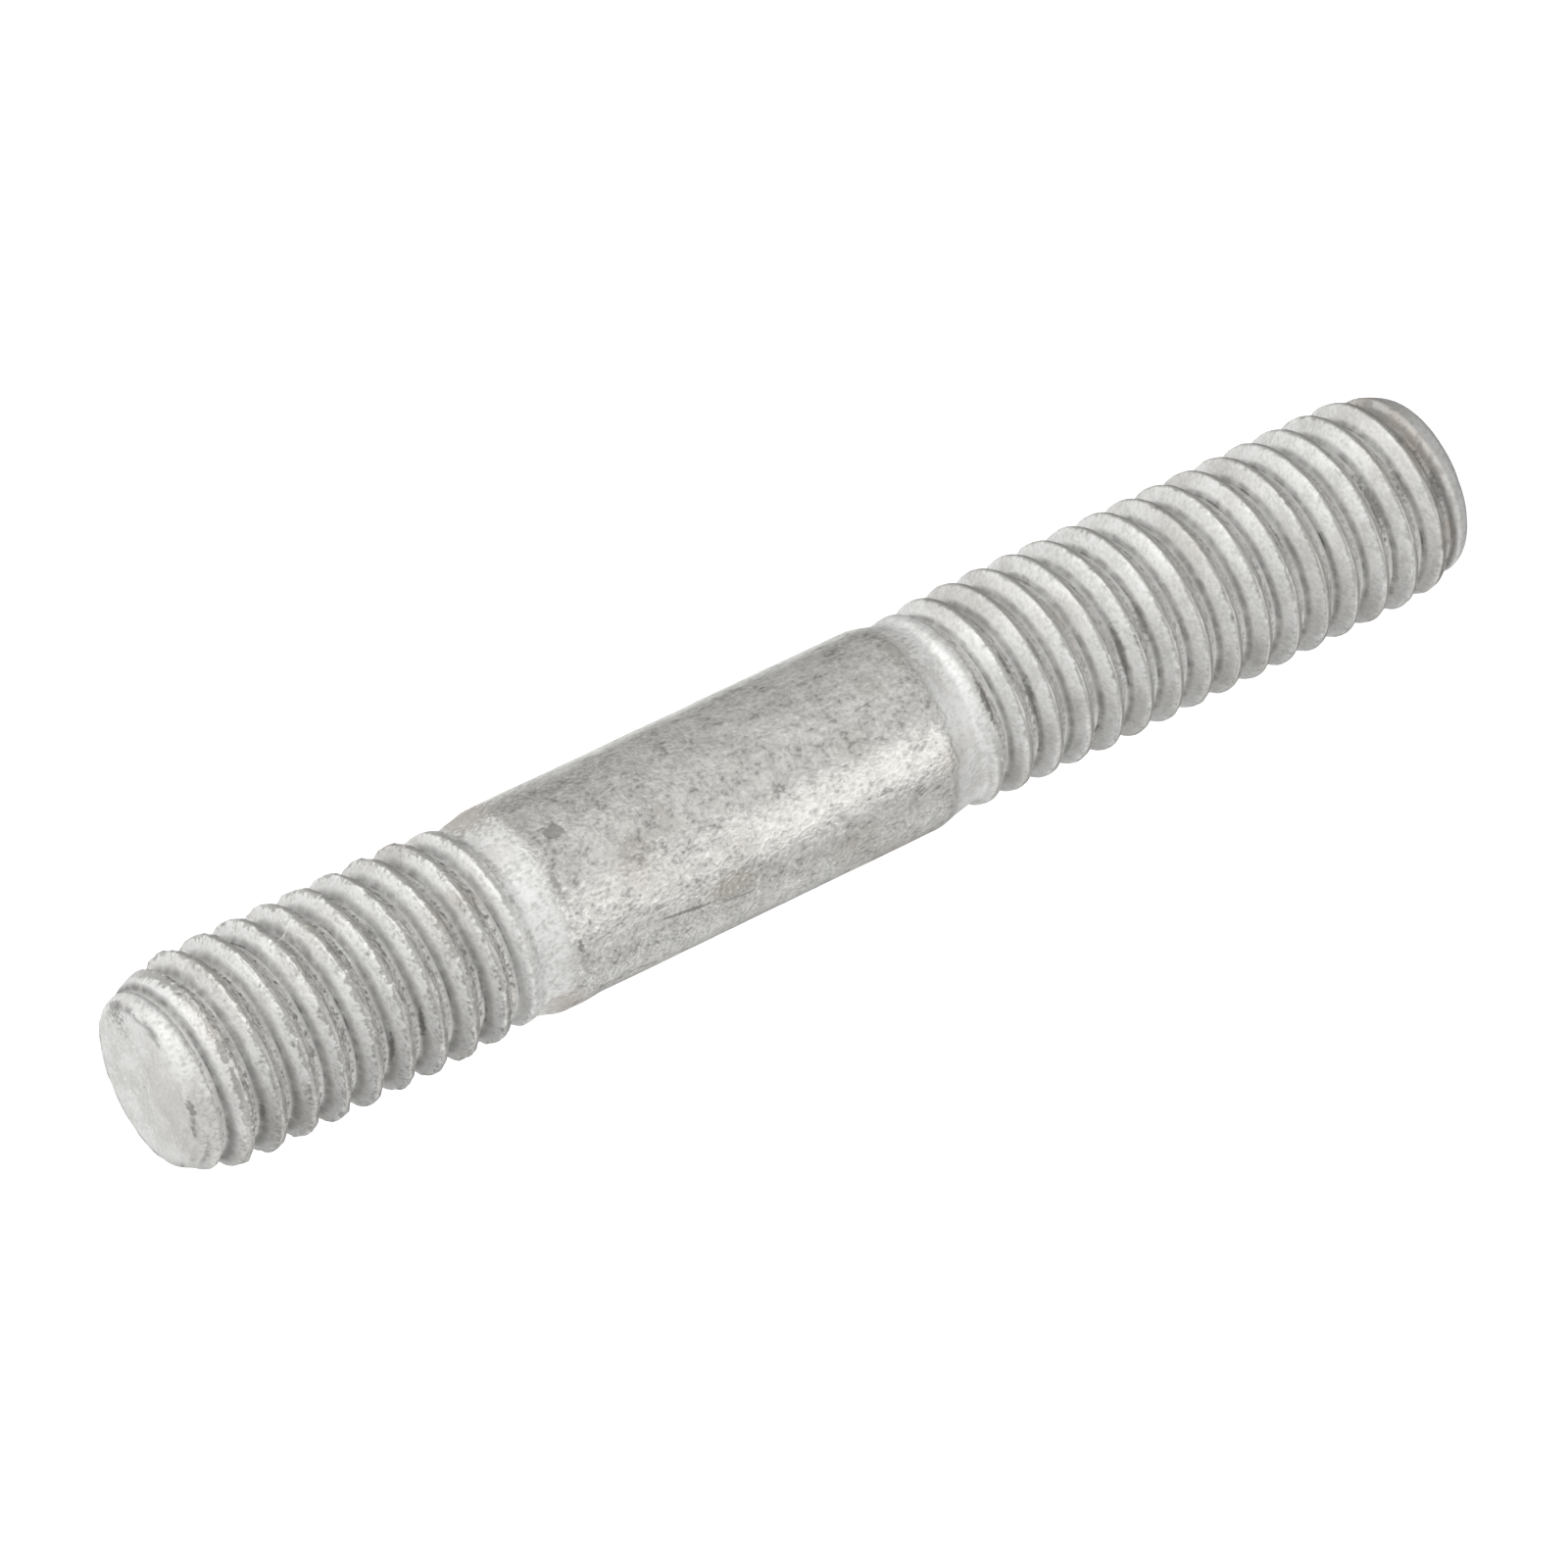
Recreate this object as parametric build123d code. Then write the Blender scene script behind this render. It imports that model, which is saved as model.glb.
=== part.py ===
"""Double ended stud, M6 x 1, with right-hand rolled threads on both ends.

One solid. It stands on the flat face of its long (nut) end, with the short
(tap) end at the top. Z is the stud's axis and Z = 0 is the face it stands on.
Millimetres and degrees.
"""

from build123d import *

import os
from math import atan2, ceil, cos, degrees

# lengths along the axis
LONG_END_LENGTH = 17.8
SHANK_LENGTH = 12.0
SHORT_END_LENGTH = 11.7
SHOULDER_LENGTH = 0.9
NECK_LENGTH = 0.1
CHAMFER_LENGTH = 1.5

# diameters
SHANK_DIAMETER = 5.86
MAJOR_DIAMETER = 5.97
PITCH_DIAMETER = 5.38
ROOT_DIAMETER = 4.8
END_FACE_DIAMETER = 4.66

# thread
PITCH = 1.0
LONG_THREAD_START = 18.4
SHORT_THREAD_START = 194.4


def helix_turn(start_radius, end_radius, height):
    """One right-hand turn of helix, from angle 0 at a height, straight or tapered."""
    slant = atan2(end_radius - start_radius, PITCH)
    turn = Edge.make_helix(PITCH / cos(slant), PITCH, start_radius, angle=degrees(slant))
    return turn.moved(Location((0, 0, height)))


def ridge_corners(height):
    """Corners of one pitch of thread at angle 0: flank, crest, flank, root, flank."""
    radii = [
        PITCH_DIAMETER / 2,
        MAJOR_DIAMETER / 2,
        PITCH_DIAMETER / 2,
        ROOT_DIAMETER / 2,
        PITCH_DIAMETER / 2,
    ]
    step = PITCH / (len(radii) - 1)
    return [(radius, 0, height + step * row) for row, radius in enumerate(radii)]


def thread_turn(height, runs_out):
    """Helical faces of one turn. The run-out turn grows out of the plain neck."""
    lines = [
        helix_turn(PITCH_DIAMETER / 2 if runs_out else radius, radius, row_height)
        for radius, _, row_height in ridge_corners(height)
    ]
    return [Face.make_surface_from_curves(low, high) for low, high in zip(lines, lines[1:])]


def threaded_blank(length):
    """Neck and thread as one solid, from the shoulder to past the free end."""
    neck = PITCH_DIAMETER / 2
    start = SHOULDER_LENGTH + NECK_LENGTH
    turns = ceil((length - start) / PITCH) + 1
    top = start + turns * PITCH
    neck_edge = Edge.make_circle(neck).moved(Location((0, 0, SHOULDER_LENGTH)))
    axis_line = Edge.make_line((0, 0, top), (0, 0, top + PITCH))
    faces = [
        Face(Wire([neck_edge])),
        Face.make_surface_from_curves(neck_edge, helix_turn(neck, neck, start)),
        Face.make_surface_from_curves(helix_turn(neck, neck, top), axis_line),
        Face(Wire.make_polygon([(0, 0, top), *ridge_corners(top), (0, 0, top + PITCH)])),
    ]
    for turn in range(turns):
        faces += thread_turn(start + turn * PITCH, runs_out=turn == 0)
    return Solid(Shell(faces))


def turned(*profile):
    """Solid of revolution about Z from (radius, height) corners."""
    points = [(radius, 0, height) for radius, height in profile]
    return revolve(make_face(Polyline(points, close=True)), Axis.Z)


def threaded_end(length, start_angle):
    """Shoulder, neck and thread, from the shank at Z = 0 to the chamfered end face."""
    neck = PITCH_DIAMETER / 2
    crest = MAJOR_DIAMETER / 2
    face = END_FACE_DIAMETER / 2
    outside = crest + PITCH
    chamfer_foot = length - CHAMFER_LENGTH * (outside - face) / (crest - face)
    shoulder = turned(
        (0, 0),
        (SHANK_DIAMETER / 2, 0),
        (neck, SHOULDER_LENGTH),
        (0, SHOULDER_LENGTH),
    )
    envelope = turned(
        (0, 0),
        (outside, 0),
        (outside, chamfer_foot),
        (face, length),
        (0, length),
    )
    end = shoulder + (threaded_blank(length) & envelope)
    return end.rotate(Axis.Z, start_angle)


shank_top = LONG_END_LENGTH + SHANK_LENGTH
shank = turned(
    (0, LONG_END_LENGTH),
    (SHANK_DIAMETER / 2, LONG_END_LENGTH),
    (SHANK_DIAMETER / 2, shank_top),
    (0, shank_top),
)
long_end = threaded_end(LONG_END_LENGTH, LONG_THREAD_START).rotate(Axis.X, 180)
short_end = threaded_end(SHORT_END_LENGTH, SHORT_THREAD_START)
stud = (
    shank
    + long_end.moved(Location((0, 0, LONG_END_LENGTH)))
    + short_end.moved(Location((0, 0, shank_top)))
)

os.makedirs("parts", exist_ok=True)
export_step(stud, "parts/stud.step")
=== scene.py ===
"""Double ended stud, M6 x 1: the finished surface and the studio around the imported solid.

The stud stands on the flat face of its long end, with +Z along its axis. One closed skin
with true 60 degree threads, run-outs, chamfers and shoulders stands for the solid node.
Sizes are in millimetres in the classes and in metres in the meshes.
"""

import functools
import itertools
import logging
import math
from dataclasses import dataclass
from enum import Enum
from typing import Any

import bpy
import numpy as np
from mathutils import Matrix, Vector


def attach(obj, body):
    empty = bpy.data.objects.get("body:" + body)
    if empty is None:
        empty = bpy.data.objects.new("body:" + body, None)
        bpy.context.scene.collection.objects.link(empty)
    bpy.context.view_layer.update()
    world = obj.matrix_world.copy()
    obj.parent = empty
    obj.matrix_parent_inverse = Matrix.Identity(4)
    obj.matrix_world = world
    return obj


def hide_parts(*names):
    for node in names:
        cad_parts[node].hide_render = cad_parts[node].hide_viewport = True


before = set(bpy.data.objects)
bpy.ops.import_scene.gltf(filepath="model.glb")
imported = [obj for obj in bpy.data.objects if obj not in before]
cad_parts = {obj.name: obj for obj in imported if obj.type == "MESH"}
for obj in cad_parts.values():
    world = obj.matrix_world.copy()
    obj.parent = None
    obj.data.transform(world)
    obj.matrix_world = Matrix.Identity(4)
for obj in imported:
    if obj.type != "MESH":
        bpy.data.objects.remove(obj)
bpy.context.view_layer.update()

Array = np.ndarray
Band = tuple[float, float]
Colour = tuple[float, float, float, float]

LOG = logging.getLogger("stud")
MM = 0.001
TURN = 2.0 * math.pi
WHITE: Colour = (1.0, 1.0, 1.0, 1.0)

# Heights above the standing face of the long end.
SHANK_FOOT = 17.8
SHANK_TOP = 29.8
SHANK_MIDDLE = 0.5 * (SHANK_FOOT + SHANK_TOP)
OVERALL_LENGTH = 41.5

# Height of one crest of each thread on the +X side.
LONG_CREST = 14.601
SHORT_CREST = 39.51

# Turns that are closer than this count as the same.
SAME_TURN = 1e-6


def ease(value: Array) -> Array:
    """Smooth step: three times the square less twice the cube, held between 0 and 1."""
    held = np.clip(value, 0.0, 1.0)
    return held * held * (3.0 - 2.0 * held)


def soft_min(first: Array, second: Array, width: float) -> Array:
    """Lower of two surfaces with their corner rounded over a width.

    Half the sum, less half the root of the squared difference plus the squared width.
    """
    return 0.5 * (first + second - np.sqrt((first - second) ** 2 + width**2))


def soft_max(first: Array, second: Array, width: float) -> Array:
    """Upper of two surfaces with their corner rounded over a width."""
    return -soft_min(-first, -second, width)


@dataclass(frozen=True)
class Relief:
    """Smooth random relief in space, the same on every run."""

    seed: int

    def _lattice(self, cell: Array) -> Array:
        """Random value from 0 to 1 of each whole-number lattice point.

        The three coordinates are multiplied by large odd numbers, mixed by exclusive or,
        and scrambled twice by shift and multiply.
        """
        step = cell.astype(np.uint64)
        mix = step[..., 0] * np.uint64(0x9E3779B97F4A7C15)
        mix ^= step[..., 1] * np.uint64(0xC2B2AE3D27D4EB4F)
        mix ^= step[..., 2] * np.uint64(0x165667B19E3779F9)
        mix ^= np.uint64(self.seed * 2654435761)
        for shift, factor in ((33, 0xFF51AFD7ED558CCD), (33, 0xC4CEB9FE1A85EC53)):
            mix ^= mix >> np.uint64(shift)
            mix *= np.uint64(factor)
        mix ^= mix >> np.uint64(33)
        return (mix >> np.uint64(11)).astype(np.float64) / float(1 << 53)

    def at(self, points: Array, size: float) -> Array:
        """Relief at points: the eight lattice values around each one, eased between.

        Args:
            points: Places, in millimetres, with x, y and z last.
            size: Distance between lattice points, in millimetres.

        Returns:
            A value from -1 to 1 for each place.
        """
        place = points / size
        cell = np.floor(place).astype(np.int64)
        weight = ease(place - cell)
        total = np.zeros(points.shape[:-1])
        for corner in itertools.product((0, 1), repeat=3):
            share = np.ones(points.shape[:-1])
            for axis, side in enumerate(corner):
                share = share * (weight[..., axis] if side else 1.0 - weight[..., axis])
            total += share * self._lattice(cell + np.array(corner))
        return 2.0 * total - 1.0

    def layered(self, points: Array, size: float, layers: int = 3) -> Array:
        """Sum of layers of relief, each half as large and half as high as the last."""
        total = np.zeros(points.shape[:-1])
        for layer in range(layers):
            total += self.at(points + 17.3 * layer, size / 2**layer) / 2**layer
        return total


@dataclass(frozen=True)
class ThreadForm:
    """Section of a rolled thread."""

    pitch: float = 1.0
    flank_deg: float = 60.0
    crest_radius: float = 2.985
    pitch_radius: float = 2.71
    root_radius: float = 2.42
    crest_rounding: float = 0.045
    root_rounding: float = 0.05

    def flank(self, phase: Array) -> Array:
        """Sharp V section: the pitch radius plus the flank's rise from the pitch line.

        The pitch line cuts the flank a quarter of a pitch from the crest's middle.

        Args:
            phase: Distance from the crest's middle, in pitches.

        Returns:
            The radius of the unclipped V.
        """
        off = np.abs(phase - np.round(phase))
        rise = 1.0 / math.tan(math.radians(0.5 * self.flank_deg))
        return self.pitch_radius + rise * self.pitch * (0.25 - off)

    def section(self, phase: Array, crest: Array, root: Array) -> Array:
        """V section clipped between a crest and a root radius, with rounded corners."""
        low = soft_max(self.flank(phase), root, self.root_rounding)
        return soft_min(low, crest, self.crest_rounding)


@dataclass(frozen=True)
class ThreadedEnd:
    """One threaded end: shoulder, run-out, thread, lead chamfer and flat face."""

    face_height: float
    shank_height: float
    crest_height: float
    face_radius: float
    corner: float
    chamfer_length: float
    shoulder_start: float
    shoulder_length: float
    runout_start: float
    runout_length: float
    roughness: float
    form: ThreadForm = ThreadForm()
    shank_radius: float = 2.937
    neck_radius: float = 2.705
    shoulder_rounding: float = 0.03
    runout_power: float = 1.65
    sink_start: float = 0.9
    sink_length: float = 1.6
    slack: float = 0.0
    slack_zone: tuple[float, float, float, float] = (1.5, 2.5, 4.2, 5.8)
    lead_fade: Band = (-0.2, 0.75)
    chamfer_bow: float = 0.25
    chamfer_excess: float = 0.02
    chamfer_rounding: float = 0.05

    @property
    def outward(self) -> float:
        """+1 where the free face is above the shank, -1 where it is below."""
        return math.copysign(1.0, self.face_height - self.shank_height)

    @property
    def foot(self) -> float:
        """Height at which the shoulder has come down to the neck."""
        drop = self.shoulder_start + self.shoulder_length
        return self.shank_height + self.outward * drop

    @property
    def flat_radius(self) -> float:
        """Radius of the end face inside its rounded corner."""
        return self.face_radius - self.corner

    def away(self, height: Array) -> Array:
        """Distance from the shank's end towards the free face."""
        return (height - self.shank_height) * self.outward

    def depth(self, height: Array) -> Array:
        """Distance from the free face towards the shank."""
        return np.maximum((self.face_height - height) * self.outward, 0.0)

    def phase(self, angle: Array, height: Array) -> Array:
        """Turns of the right-hand helix between the marked crest and a place."""
        return (height - self.crest_height) / self.form.pitch - angle / TURN

    def envelope(self, height: Array) -> Array:
        """Radius of the lead chamfer: a slightly convex cone with a rounded corner.

        The cone's share of the full radius is bowed by share times (1 - share). The
        corner is a quarter circle.

        Args:
            height: Height on the axis.

        Returns:
            The largest radius that the chamfer allows there.
        """
        depth = self.depth(height)
        share = depth / self.chamfer_length
        full = self.form.crest_radius + self.chamfer_excess - self.face_radius
        bowed = share + self.chamfer_bow * share * np.maximum(1.0 - share, 0.0)
        inside = np.clip(1.0 - depth / self.corner, 0.0, 1.0)
        cut = self.corner * (1.0 - np.sqrt(1.0 - inside**2))
        return self.face_radius + full * bowed - cut

    def _crest_line(self, angle: Array, away: Array) -> Array:
        """Radius of the crests: a power law over the run-out, less the slack.

        On the -X side the first full crests stay lower by the slack, as worn dies leave
        them.

        Args:
            angle: Angle round the axis, in radians.
            away: Distance from the shank's end.

        Returns:
            The radius.
        """
        climb = np.clip((away - self.runout_start) / self.runout_length, 0.0, 1.0)
        rise = (self.form.crest_radius - self.neck_radius) * (
            1.0 - (1.0 - climb) ** self.runout_power
        )
        one_side = (0.5 - 0.5 * np.cos(angle)) ** 2
        start, full, last, stop = self.slack_zone
        zone = ease((away - start) / (full - start)) * (
            1.0 - ease((away - last) / (stop - last))
        )
        return self.neck_radius + rise - self.slack * one_side * zone

    def radius(self, angle: Array, height: Array) -> Array:
        """Radius of the end's side at an angle and a height.

        The V section is clipped between the crest line and a root line that sinks from
        the neck, and the lead chamfer cuts both. The root rises towards the free face, as
        it does where a die rolls a chamfered blank.

        Args:
            angle: Angle round the axis, in radians.
            height: Height on the axis.

        Returns:
            The radius.
        """
        away = self.away(height)
        crest = self._crest_line(angle, away)
        sink = (self.neck_radius - self.form.root_radius) * ease(
            (away - self.sink_start) / self.sink_length
        )
        envelope = self.envelope(height)
        start, stop = self.lead_fade
        bite = ease((self.depth(height) - start) / (stop - start))
        top = np.minimum(crest, envelope)
        root = top - (top - (self.neck_radius - sink)) * bite
        thread = self.form.section(self.phase(angle, height), crest, root)
        fall = ease((away - self.shoulder_start) / self.shoulder_length)
        shoulder = self.shank_radius - (self.shank_radius - self.neck_radius) * fall
        joined = soft_max(shoulder, thread, self.shoulder_rounding)
        side = np.where(fall < 1.0, joined, thread)
        side = np.where(fall > 0.0, side, self.shank_radius)
        return soft_min(side, envelope, self.chamfer_rounding)


class MarkKind(Enum):
    """What a single mark on the coat looks like."""

    DARK = "dark"
    BROWN = "brown"
    PALE = "pale"
    GRIME = "grime_and_shade"
    SHAPE = "shape"


DARK, BROWN, PALE, GRIME, SHAPE = MarkKind


@dataclass(frozen=True)
class Mark:
    """A dent, swelling, scratch or spot: an ellipse on the side at an angle and a height."""

    kind: MarkKind
    angle_deg: float
    height: float
    radius: float
    half_length: float
    half_width: float
    slant_deg: float = 0.0
    strength: float = 0.6
    dent: float = 0.0
    fray: float = 2.0
    bowl: Band = (0.35, 1.1)

    def frame(self) -> tuple[Vector, Matrix]:
        """The mark's centre in millimetres and its axes: along, across and outward.

        Returns:
            The centre, and a matrix whose columns are the three axes.
        """
        angle = math.radians(self.angle_deg)
        outward = Vector((math.cos(angle), math.sin(angle), 0.0))
        around = Vector((-math.sin(angle), math.cos(angle), 0.0))
        upward = Vector((0.0, 0.0, 1.0))
        slant = math.radians(self.slant_deg)
        along = math.cos(slant) * upward + math.sin(slant) * around
        across = outward.cross(along)
        centre = outward * self.radius + upward * self.height
        return centre, Matrix((along, across, outward)).transposed()

    def depth(self, points: Array) -> Array:
        """Depth of the dent at points: a smooth bowl inside the ellipse.

        The distance is the length of the place in the mark's own axes, each divided by
        the ellipse's half size.

        Args:
            points: Places in millimetres.

        Returns:
            How far the surface is pushed in, below 0 in a swelling.
        """
        centre, axes = self.frame()
        local = (points - np.array(centre)) @ np.array(axes)
        sizes = np.array([self.half_length, self.half_width, 1.0])
        reach = np.sqrt(((local / sizes) ** 2).sum(axis=-1))
        bottom, edge = self.bowl
        return self.dent * (1.0 - ease((reach - bottom) / (edge - bottom)))


MARKS: tuple[Mark, ...] = (
    # The dimple near the short end and its rim.
    Mark(DARK, -61.0, 29.1, 2.93, 0.36, 0.32, strength=0.62, dent=0.05, fray=2.2),
    Mark(DARK, -62.0, 28.87, 2.93, 0.1, 0.22, strength=0.7, fray=1.0),
    # Scratches, flaps and patches on the shank and its shoulders.
    Mark(DARK, -132.5, 26.45, 2.93, 1.05, 0.07, 8.6, strength=0.75, dent=0.012, fray=1.0),
    Mark(DARK, -139.0, 24.8, 2.93, 0.85, 0.055, 7.0, fray=1.0),
    Mark(BROWN, -131.0, 24.95, 2.93, 0.9, 0.42, 6.0, strength=0.4, fray=3.0),
    Mark(DARK, -122.5, 24.9, 2.93, 0.8, 0.06, 6.0, strength=0.35, fray=2.5),
    Mark(DARK, -72.0, 19.45, 2.93, 0.45, 0.035, -6.0, strength=0.55, dent=0.008, fray=1.0),
    Mark(DARK, -123.0, 29.75, 2.93, 0.1, 0.18, strength=0.8),
    Mark(DARK, -86.0, 29.85, 2.92, 0.15, 0.4, strength=0.5),
    Mark(DARK, -162.0, 28.5, 2.93, 0.7, 0.1, strength=0.4),
    Mark(DARK, -33.0, 28.3, 2.93, 1.6, 0.35, strength=0.25, fray=4.0),
    Mark(PALE, -53.0, 27.1, 2.93, 0.5, 0.03, -14.0, strength=0.45, fray=1.0),
    Mark(BROWN, -22.0, 24.6, 2.93, 0.9, 0.5, strength=0.25),
    Mark(BROWN, -14.0, 30.4, 2.8, 0.75, 1.2, strength=0.5),
    Mark(BROWN, -165.0, 30.2, 2.85, 0.7, 0.8, strength=0.4),
    Mark(BROWN, -48.0, 17.6, 2.85, 0.5, 0.9, strength=0.3, fray=3.0),
    # A pale scratch across the short thread.
    Mark(PALE, -37.0, 36.95, 2.9, 0.4, 0.04, 6.0, strength=0.7, fray=1.0),
    # Dark places along the rim of the short end face.
    Mark(DARK, -160.0, 41.14, 2.42, 0.08, 0.8, strength=0.35, dent=0.05),
    Mark(DARK, -118.0, 41.4, 2.34, 0.08, 0.4, strength=0.7, dent=0.02),
    Mark(DARK, -10.0, 41.44, 2.3, 0.1, 0.6, dent=0.01),
    # Grime in the grooves of the long thread.
    Mark(GRIME, -97.0, 16.17, 2.8, 0.16, 0.75, strength=0.75),
    Mark(GRIME, -82.0, 15.2, 2.8, 0.14, 0.6),
    Mark(GRIME, -110.0, 14.72, 2.55, 0.08, 0.9),
    Mark(GRIME, -84.0, 14.28, 2.85, 0.12, 0.4, strength=0.4),
    Mark(GRIME, -108.0, 11.7, 2.55, 0.08, 0.9),
    Mark(GRIME, -95.0, 10.77, 2.55, 0.08, 0.7, strength=0.55),
    Mark(GRIME, -99.0, 7.09, 2.75, 0.16, 0.6, strength=0.55),
    Mark(GRIME, -94.0, 2.86, 2.5, 0.14, 1.1),
    Mark(GRIME, -88.0, 5.96, 2.65, 0.12, 0.5, strength=0.45),
    # Grime in the grooves of the short thread.
    Mark(GRIME, -139.0, 35.5, 2.6, 0.055, 0.8, strength=0.75),
    Mark(GRIME, -131.0, 34.52, 2.6, 0.055, 0.6, strength=0.8),
    Mark(GRIME, -75.0, 34.86, 2.5, 0.05, 0.3),
    Mark(GRIME, -64.0, 34.8, 2.5, 0.05, 0.35, strength=0.5),
    Mark(GRIME, -126.0, 32.6, 2.5, 0.05, 0.5, strength=0.5),
    Mark(GRIME, -140.0, 39.5, 2.5, 0.06, 0.4),
    # Grime on the long lead.
    Mark(GRIME, -101.0, 0.84, 2.65, 0.12, 0.6, fray=3.0),
    Mark(GRIME, -76.0, 0.98, 2.68, 0.14, 0.5, strength=0.5, fray=3.0),
    Mark(GRIME, -89.0, 1.84, 2.65, 0.12, 0.6, strength=0.5),
    # Swellings of the shank above the short shoulder and of the short chamfer.
    Mark(SHAPE, 180.0, 29.6, 2.93, 0.8, 1.5, dent=-0.045),
    Mark(SHAPE, 178.0, 40.75, 2.75, 0.42, 0.8, dent=-0.05),
)


@dataclass(frozen=True)
class Wear:
    """Small unevenness of the side: slow waves, grain on the shank and ragged crests."""

    relief: Relief = Relief(7)
    wave_height: float = 0.006
    wave_size: float = 1.3
    grain_height: float = 0.004
    grain_size: float = 0.45
    ragged_size: float = 0.38
    ragged_bias: float = 0.35
    rolled_share: float = 0.2
    rolled_size: float = 0.3
    chipped_share: float = 0.5
    chipped_size: float = 0.4
    chipped_reach: float = 0.25
    crest_band: Band = (2.84, 2.94)
    shank_band: Band = (0.1, 0.5)

    def rise(
        self, points: Array, radius: Array, away: Array, depth: Array, roughness: Array
    ) -> Array:
        """What to add to each radius.

        Args:
            points: Lattice points.
            radius: Their radii.
            away: Their distances from the shank's end.
            depth: Their distances from the free face.
            roughness: Roughness of the end that each belongs to.

        Returns:
            The rise, below 0 where the surface is pushed in.
        """
        foot, top = self.crest_band
        crest = ease((radius - foot) / (top - foot))
        last, gone = self.shank_band
        shank = 1.0 - ease((away - last) / (gone - last))
        ragged = crest * (self.relief.layered(points, self.ragged_size, 2) - self.ragged_bias)
        rolled = self.rolled_share * self.relief.layered(points, self.rolled_size, 2)
        chipped = self.chipped_share * self.relief.layered(points, self.chipped_size, 2)
        chipped = chipped * np.exp(-((depth / self.chipped_reach) ** 2))
        grain = self.grain_height * self.relief.layered(points, self.grain_size, 2)
        total = self.wave_height * self.relief.at(points, self.wave_size)
        total = total + roughness * (ragged + rolled + chipped) * (1.0 - shank)
        total = total + grain * shank
        for mark in MARKS:
            total = total - mark.depth(points)
        return total


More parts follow.
